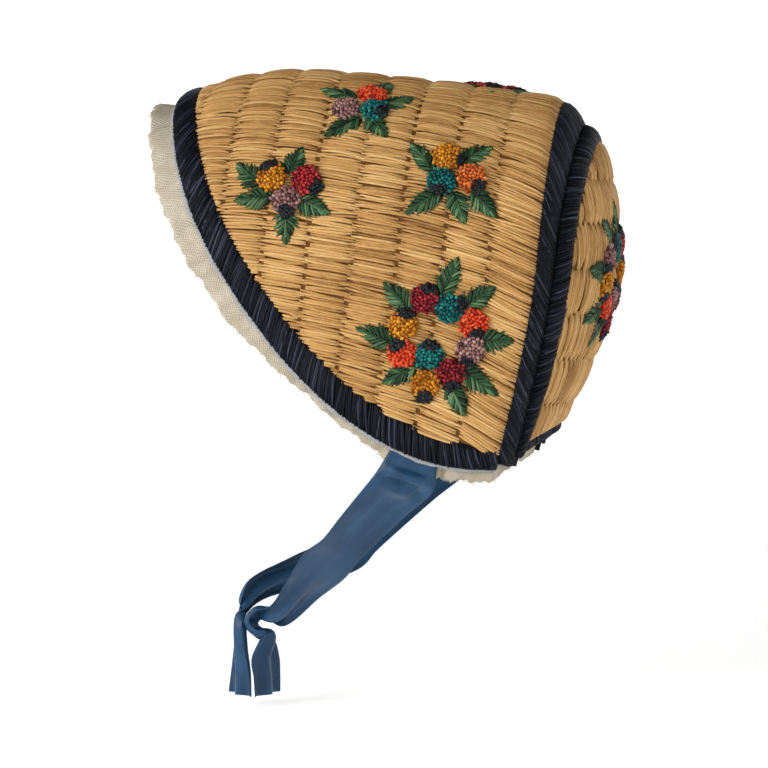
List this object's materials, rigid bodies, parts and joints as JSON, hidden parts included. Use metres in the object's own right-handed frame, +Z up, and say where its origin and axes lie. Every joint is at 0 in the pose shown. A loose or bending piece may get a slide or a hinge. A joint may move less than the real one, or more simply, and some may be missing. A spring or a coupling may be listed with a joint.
{
  "type": "poke bonnet",
  "caption": "Arched raffia bonnet with a domed back, navy raffia borders, raised berry and leaf embroidery, a gathered net ruffle inside the front edge and satin ties.",
  "frame": {"origin": "the point inside the crown, on the middle plane, where the top of the head bears", "axes": "+Z up, -Y towards the face opening, +X towards the wearer's left"},
  "size_m": [0.171, 0.2316, 0.3074],
  "materials": {
    "natural_raffia": "natural straw-coloured raffia laid side by side, slightly glossy",
    "navy_raffia": "raffia dyed navy, slightly glossy",
    "embroidery": "raffia dyed in several colours, knotted berries and satin stitch leaves",
    "net": "cream cotton net, matt",
    "facing_cloth": "pale grey-blue cloth, matt",
    "satin": "steel-blue satin ribbon, glossy"
  },
  "bodies": {
    "root": {"side_panel": "natural_raffia", "back_panel": "natural_raffia", "front_border": "navy_raffia", "side_seam_band": "navy_raffia", "back_seam_band": "navy_raffia", "nape_border": "navy_raffia", "edge_facing": "facing_cloth", "ruffle": "net", "front_spray_left": "embroidery", "crown_spray_left": "embroidery", "back_spray_left": "embroidery", "side_wreath_left": "embroidery", "front_spray_right": "embroidery", "crown_spray_right": "embroidery", "back_spray_right": "embroidery", "side_wreath_right": "embroidery", "top_spray": "embroidery", "back_wreath": "embroidery", "left_tie": "satin", "right_tie": "satin"}
  },
  "joints": []
}
